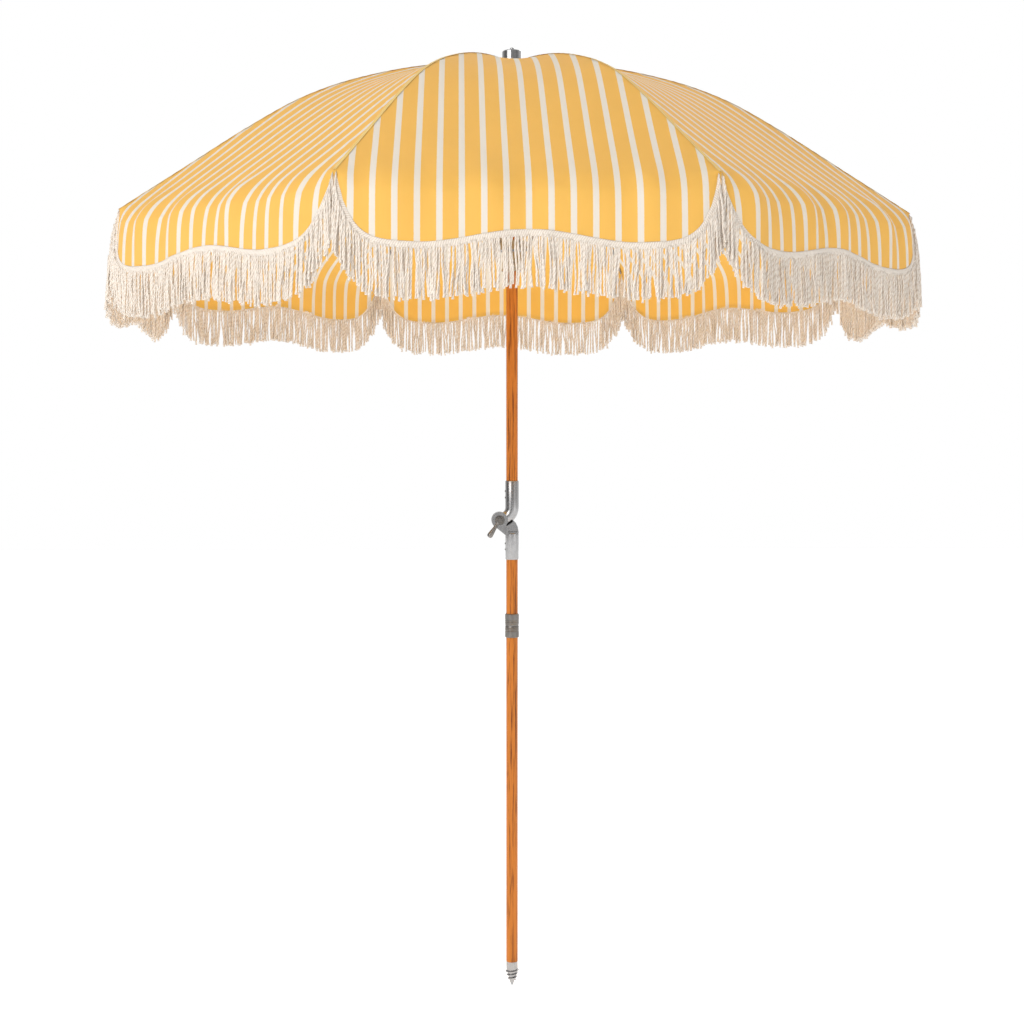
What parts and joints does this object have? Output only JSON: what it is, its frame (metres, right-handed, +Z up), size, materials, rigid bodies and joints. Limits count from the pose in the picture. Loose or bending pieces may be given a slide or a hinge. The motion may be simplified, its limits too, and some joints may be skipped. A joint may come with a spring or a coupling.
{
  "type": "beach umbrella",
  "caption": "Beach umbrella with an octagonal striped cloth canopy, scalloped fringed hem, wooden pole with screw joint, tilting knuckle, clamp lever and ground screw.",
  "frame": {"origin": "the ground screw's point, on the pole's axis", "axes": "+Z up along the pole; -Y is the side of panel 1, from which the clamp lever is seen; +X is away from the tilt pivot"},
  "size_m": [1.7392, 1.7392, 2.184],
  "materials": {
    "wood": "oiled, orange-brown",
    "bright_metal": "drawn and lightly polished",
    "dark_metal": "dull",
    "steel": "zinc plated",
    "striped_cloth": "woven, with narrow white stripes",
    "cotton": "twisted cotton cord"
  },
  "bodies": {
    "lower_pole_part": {"ground_screw": "bright_metal", "lower_pole": "wood", "lower_ferrule": "bright_metal", "lower_ferrule_pin": "dark_metal"},
    "join_washer_part": {"join_washer": "dark_metal"},
    "middle_pole_part": {"upper_ferrule": "bright_metal", "upper_ferrule_pin": "dark_metal", "join_stud": "dark_metal", "middle_pole": "wood", "lower_knuckle": "bright_metal", "lower_knuckle_rivet_1": "dark_metal", "lower_knuckle_rivet_2": "dark_metal", "pivot_bolt": "dark_metal", "pivot_nut": "dark_metal"},
    "clamp_lever_part": {"clamp_lever": "dark_metal"},
    "upper_pole_part": {"upper_knuckle": "bright_metal", "upper_knuckle_rivet_1": "dark_metal", "upper_knuckle_rivet_2": "dark_metal", "clamp_washer": "dark_metal", "upper_pole": "wood", "crown_hub": "bright_metal", "crown_wire": "dark_metal", "finial_cap": "bright_metal", "finial_knob": "bright_metal"},
    "runner_part": {"runner": "bright_metal", "runner_wire": "dark_metal"},
    "runner_button_part": {"runner_button": "dark_metal"},
    "rib_1_part": {"rib_1": "steel"},
    "stretcher_1_part": {"stretcher_1": "steel"},
    "rib_2_part": {"rib_2": "steel"},
    "stretcher_2_part": {"stretcher_2": "steel"},
    "rib_3_part": {"rib_3": "steel"},
    "stretcher_3_part": {"stretcher_3": "steel"},
    "rib_4_part": {"rib_4": "steel"},
    "stretcher_4_part": {"stretcher_4": "steel"},
    "rib_5_part": {"rib_5": "steel"},
    "stretcher_5_part": {"stretcher_5": "steel"},
    "rib_6_part": {"rib_6": "steel"},
    "stretcher_6_part": {"stretcher_6": "steel"},
    "rib_7_part": {"rib_7": "steel"},
    "stretcher_7_part": {"stretcher_7": "steel"},
    "rib_8_part": {"rib_8": "steel"},
    "stretcher_8_part": {"stretcher_8": "steel"},
    "canopy_panel_1_part": {"canopy_panel_1": "striped_cloth"},
    "fringe_1_part": {"fringe_1": "cotton"},
    "canopy_panel_2_part": {"canopy_panel_2": "striped_cloth"},
    "fringe_2_part": {"fringe_2": "cotton"},
    "canopy_panel_3_part": {"canopy_panel_3": "striped_cloth"},
    "fringe_3_part": {"fringe_3": "cotton"},
    "canopy_panel_4_part": {"canopy_panel_4": "striped_cloth"},
    "fringe_4_part": {"fringe_4": "cotton"},
    "canopy_panel_5_part": {"canopy_panel_5": "striped_cloth"},
    "fringe_5_part": {"fringe_5": "cotton"},
    "canopy_panel_6_part": {"canopy_panel_6": "striped_cloth"},
    "fringe_6_part": {"fringe_6": "cotton"},
    "canopy_panel_7_part": {"canopy_panel_7": "striped_cloth"},
    "fringe_7_part": {"fringe_7": "cotton"},
    "canopy_panel_8_part": {"canopy_panel_8": "striped_cloth"},
    "fringe_8_part": {"fringe_8": "cotton"}
  },
  "joints": [
    {"name": "join_lift", "type": "slide", "parent": "lower_pole_part", "child": "join_washer_part", "axis": [0, 0, 1], "range_m": [0, 0.0256]},
    {"name": "pole_unscrew", "type": "hinge", "parent": "join_washer_part", "child": "middle_pole_part", "pos_m": [0, 0, 0.8382], "axis": [0, 0, 1], "range_deg": [0, 1080]},
    {"name": "clamp_lever_turn", "type": "hinge", "parent": "middle_pole_part", "child": "clamp_lever_part", "pos_m": [-0.029, 0, 1.084], "axis": [0, 1, 0], "range_deg": [0, 110]},
    {"name": "pole_tilt", "type": "hinge", "parent": "middle_pole_part", "child": "upper_pole_part", "pos_m": [-0.029, 0, 1.084], "axis": [0, -1, 0], "range_deg": [0, 50]},
    {"name": "runner_slide", "type": "slide", "parent": "upper_pole_part", "child": "runner_part", "axis": [0, 0, 1], "range_m": [-0.476, 0]},
    {"name": "runner_button_press", "type": "slide", "parent": "runner_part", "child": "runner_button_part", "axis": [0, 1, 0], "range_m": [0, 0.003], "stiffness_N_per_m": 500},
    {"name": "rib_1_fold", "type": "hinge", "parent": "upper_pole_part", "child": "rib_1_part", "pos_m": [0.01148, -0.02772, 2.1352], "axis": [0.9239, 0.3827, 0], "range_deg": [0, 64.01]},
    {"name": "stretcher_1_fold", "type": "hinge", "parent": "rib_1_part", "child": "stretcher_1_part", "pos_m": [0.16073, -0.38803, 2.04926], "axis": [-0.9239, -0.3827, 0], "range_deg": [0, 103.2]},
    {"name": "rib_2_fold", "type": "hinge", "parent": "upper_pole_part", "child": "rib_2_part", "pos_m": [0.02772, -0.01148, 2.1352], "axis": [0.3827, 0.9239, 0], "range_deg": [0, 64.01]},
    {"name": "stretcher_2_fold", "type": "hinge", "parent": "rib_2_part", "child": "stretcher_2_part", "pos_m": [0.38803, -0.16073, 2.04926], "axis": [-0.3827, -0.9239, 0], "range_deg": [0, 103.2]},
    {"name": "rib_3_fold", "type": "hinge", "parent": "upper_pole_part", "child": "rib_3_part", "pos_m": [0.02772, 0.01148, 2.1352], "axis": [-0.3827, 0.9239, 0], "range_deg": [0, 64.01]},
    {"name": "stretcher_3_fold", "type": "hinge", "parent": "rib_3_part", "child": "stretcher_3_part", "pos_m": [0.38803, 0.16073, 2.04926], "axis": [0.3827, -0.9239, 0], "range_deg": [0, 103.2]},
    {"name": "rib_4_fold", "type": "hinge", "parent": "upper_pole_part", "child": "rib_4_part", "pos_m": [0.01148, 0.02772, 2.1352], "axis": [-0.9239, 0.3827, 0], "range_deg": [0, 64.01]},
    {"name": "stretcher_4_fold", "type": "hinge", "parent": "rib_4_part", "child": "stretcher_4_part", "pos_m": [0.16073, 0.38803, 2.04926], "axis": [0.9239, -0.3827, 0], "range_deg": [0, 103.2]},
    {"name": "rib_5_fold", "type": "hinge", "parent": "upper_pole_part", "child": "rib_5_part", "pos_m": [-0.01148, 0.02772, 2.1352], "axis": [-0.9239, -0.3827, 0], "range_deg": [0, 64.01]},
    {"name": "stretcher_5_fold", "type": "hinge", "parent": "rib_5_part", "child": "stretcher_5_part", "pos_m": [-0.16073, 0.38803, 2.04926], "axis": [0.9239, 0.3827, 0], "range_deg": [0, 103.2]},
    {"name": "rib_6_fold", "type": "hinge", "parent": "upper_pole_part", "child": "rib_6_part", "pos_m": [-0.02772, 0.01148, 2.1352], "axis": [-0.3827, -0.9239, 0], "range_deg": [0, 64.01]},
    {"name": "stretcher_6_fold", "type": "hinge", "parent": "rib_6_part", "child": "stretcher_6_part", "pos_m": [-0.38803, 0.16073, 2.04926], "axis": [0.3827, 0.9239, 0], "range_deg": [0, 103.2]},
    {"name": "rib_7_fold", "type": "hinge", "parent": "upper_pole_part", "child": "rib_7_part", "pos_m": [-0.02772, -0.01148, 2.1352], "axis": [0.3827, -0.9239, 0], "range_deg": [0, 64.01]},
    {"name": "stretcher_7_fold", "type": "hinge", "parent": "rib_7_part", "child": "stretcher_7_part", "pos_m": [-0.38803, -0.16073, 2.04926], "axis": [-0.3827, 0.9239, 0], "range_deg": [0, 103.2]},
    {"name": "rib_8_fold", "type": "hinge", "parent": "upper_pole_part", "child": "rib_8_part", "pos_m": [-0.01148, -0.02772, 2.1352], "axis": [0.9239, -0.3827, 0], "range_deg": [0, 64.01]},
    {"name": "stretcher_8_fold", "type": "hinge", "parent": "rib_8_part", "child": "stretcher_8_part", "pos_m": [-0.16073, -0.38803, 2.04926], "axis": [-0.9239, 0.3827, 0], "range_deg": [0, 103.2]},
    {"name": "canopy_panel_1_fold", "type": "hinge", "parent": "upper_pole_part", "child": "canopy_panel_1_part", "pos_m": [0, -0.02772, 2.1352], "axis": [1, 0, 0], "range_deg": [0, 61.51], "deforming": ["canopy_panel_1"]},
    {"name": "fringe_1_hang", "type": "hinge", "parent": "canopy_panel_1_part", "child": "fringe_1_part", "pos_m": [0, -0.83149, 1.752], "axis": [-1, 0, 0], "range_deg": [0, 61.51], "deforming": ["fringe_1"]},
    {"name": "canopy_panel_2_fold", "type": "hinge", "parent": "upper_pole_part", "child": "canopy_panel_2_part", "pos_m": [0.0196, -0.0196, 2.1352], "axis": [0.7071, 0.7071, 0], "range_deg": [0, 61.51], "deforming": ["canopy_panel_2"]},
    {"name": "fringe_2_hang", "type": "hinge", "parent": "canopy_panel_2_part", "child": "fringe_2_part", "pos_m": [0.58795, -0.58795, 1.752], "axis": [-0.7071, -0.7071, 0], "range_deg": [0, 61.51], "deforming": ["fringe_2"]},
    {"name": "canopy_panel_3_fold", "type": "hinge", "parent": "upper_pole_part", "child": "canopy_panel_3_part", "pos_m": [0.02772, 0, 2.1352], "axis": [0, 1, 0], "range_deg": [0, 61.51], "deforming": ["canopy_panel_3"]},
    {"name": "fringe_3_hang", "type": "hinge", "parent": "canopy_panel_3_part", "child": "fringe_3_part", "pos_m": [0.83149, 0, 1.752], "axis": [0, -1, 0], "range_deg": [0, 61.51], "deforming": ["fringe_3"]},
    {"name": "canopy_panel_4_fold", "type": "hinge", "parent": "upper_pole_part", "child": "canopy_panel_4_part", "pos_m": [0.0196, 0.0196, 2.1352], "axis": [-0.7071, 0.7071, 0], "range_deg": [0, 61.51], "deforming": ["canopy_panel_4"]},
    {"name": "fringe_4_hang", "type": "hinge", "parent": "canopy_panel_4_part", "child": "fringe_4_part", "pos_m": [0.58795, 0.58795, 1.752], "axis": [0.7071, -0.7071, 0], "range_deg": [0, 61.51], "deforming": ["fringe_4"]},
    {"name": "canopy_panel_5_fold", "type": "hinge", "parent": "upper_pole_part", "child": "canopy_panel_5_part", "pos_m": [0, 0.02772, 2.1352], "axis": [-1, 0, 0], "range_deg": [0, 61.51], "deforming": ["canopy_panel_5"]},
    {"name": "fringe_5_hang", "type": "hinge", "parent": "canopy_panel_5_part", "child": "fringe_5_part", "pos_m": [0, 0.83149, 1.752], "axis": [1, 0, 0], "range_deg": [0, 61.51], "deforming": ["fringe_5"]},
    {"name": "canopy_panel_6_fold", "type": "hinge", "parent": "upper_pole_part", "child": "canopy_panel_6_part", "pos_m": [-0.0196, 0.0196, 2.1352], "axis": [-0.7071, -0.7071, 0], "range_deg": [0, 61.51], "deforming": ["canopy_panel_6"]},
    {"name": "fringe_6_hang", "type": "hinge", "parent": "canopy_panel_6_part", "child": "fringe_6_part", "pos_m": [-0.58795, 0.58795, 1.752], "axis": [0.7071, 0.7071, 0], "range_deg": [0, 61.51], "deforming": ["fringe_6"]},
    {"name": "canopy_panel_7_fold", "type": "hinge", "parent": "upper_pole_part", "child": "canopy_panel_7_part", "pos_m": [-0.02772, 0, 2.1352], "axis": [0, -1, 0], "range_deg": [0, 61.51], "deforming": ["canopy_panel_7"]},
    {"name": "fringe_7_hang", "type": "hinge", "parent": "canopy_panel_7_part", "child": "fringe_7_part", "pos_m": [-0.83149, 0, 1.752], "axis": [0, 1, 0], "range_deg": [0, 61.51], "deforming": ["fringe_7"]},
    {"name": "canopy_panel_8_fold", "type": "hinge", "parent": "upper_pole_part", "child": "canopy_panel_8_part", "pos_m": [-0.0196, -0.0196, 2.1352], "axis": [0.7071, -0.7071, 0], "range_deg": [0, 61.51], "deforming": ["canopy_panel_8"]},
    {"name": "fringe_8_hang", "type": "hinge", "parent": "canopy_panel_8_part", "child": "fringe_8_part", "pos_m": [-0.58795, -0.58795, 1.752], "axis": [-0.7071, 0.7071, 0], "range_deg": [0, 61.51], "deforming": ["fringe_8"]}
  ],
  "couplings": [
    {"joint": "join_lift", "follows": "pole_unscrew", "m_per_rad": 0.0013528},
    {"joint": "rib_1_fold", "follows": "runner_slide", "rad_per_m": -2.3467},
    {"joint": "stretcher_1_fold", "follows": "runner_slide", "rad_per_m": -3.7836},
    {"joint": "rib_2_fold", "follows": "runner_slide", "rad_per_m": -2.3467},
    {"joint": "stretcher_2_fold", "follows": "runner_slide", "rad_per_m": -3.7836},
    {"joint": "rib_3_fold", "follows": "runner_slide", "rad_per_m": -2.3467},
    {"joint": "stretcher_3_fold", "follows": "runner_slide", "rad_per_m": -3.7836},
    {"joint": "rib_4_fold", "follows": "runner_slide", "rad_per_m": -2.3467},
    {"joint": "stretcher_4_fold", "follows": "runner_slide", "rad_per_m": -3.7836},
    {"joint": "rib_5_fold", "follows": "runner_slide", "rad_per_m": -2.3467},
    {"joint": "stretcher_5_fold", "follows": "runner_slide", "rad_per_m": -3.7836},
    {"joint": "rib_6_fold", "follows": "runner_slide", "rad_per_m": -2.3467},
    {"joint": "stretcher_6_fold", "follows": "runner_slide", "rad_per_m": -3.7836},
    {"joint": "rib_7_fold", "follows": "runner_slide", "rad_per_m": -2.3467},
    {"joint": "stretcher_7_fold", "follows": "runner_slide", "rad_per_m": -3.7836},
    {"joint": "rib_8_fold", "follows": "runner_slide", "rad_per_m": -2.3467},
    {"joint": "stretcher_8_fold", "follows": "runner_slide", "rad_per_m": -3.7836},
    {"joint": "canopy_panel_1_fold", "follows": "runner_slide", "rad_per_m": -2.255},
    {"joint": "fringe_1_hang", "follows": "runner_slide", "rad_per_m": -2.255},
    {"joint": "canopy_panel_2_fold", "follows": "runner_slide", "rad_per_m": -2.255},
    {"joint": "fringe_2_hang", "follows": "runner_slide", "rad_per_m": -2.255},
    {"joint": "canopy_panel_3_fold", "follows": "runner_slide", "rad_per_m": -2.255},
    {"joint": "fringe_3_hang", "follows": "runner_slide", "rad_per_m": -2.255},
    {"joint": "canopy_panel_4_fold", "follows": "runner_slide", "rad_per_m": -2.255},
    {"joint": "fringe_4_hang", "follows": "runner_slide", "rad_per_m": -2.255},
    {"joint": "canopy_panel_5_fold", "follows": "runner_slide", "rad_per_m": -2.255},
    {"joint": "fringe_5_hang", "follows": "runner_slide", "rad_per_m": -2.255},
    {"joint": "canopy_panel_6_fold", "follows": "runner_slide", "rad_per_m": -2.255},
    {"joint": "fringe_6_hang", "follows": "runner_slide", "rad_per_m": -2.255},
    {"joint": "canopy_panel_7_fold", "follows": "runner_slide", "rad_per_m": -2.255},
    {"joint": "fringe_7_hang", "follows": "runner_slide", "rad_per_m": -2.255},
    {"joint": "canopy_panel_8_fold", "follows": "runner_slide", "rad_per_m": -2.255},
    {"joint": "fringe_8_hang", "follows": "runner_slide", "rad_per_m": -2.255}
  ]
}
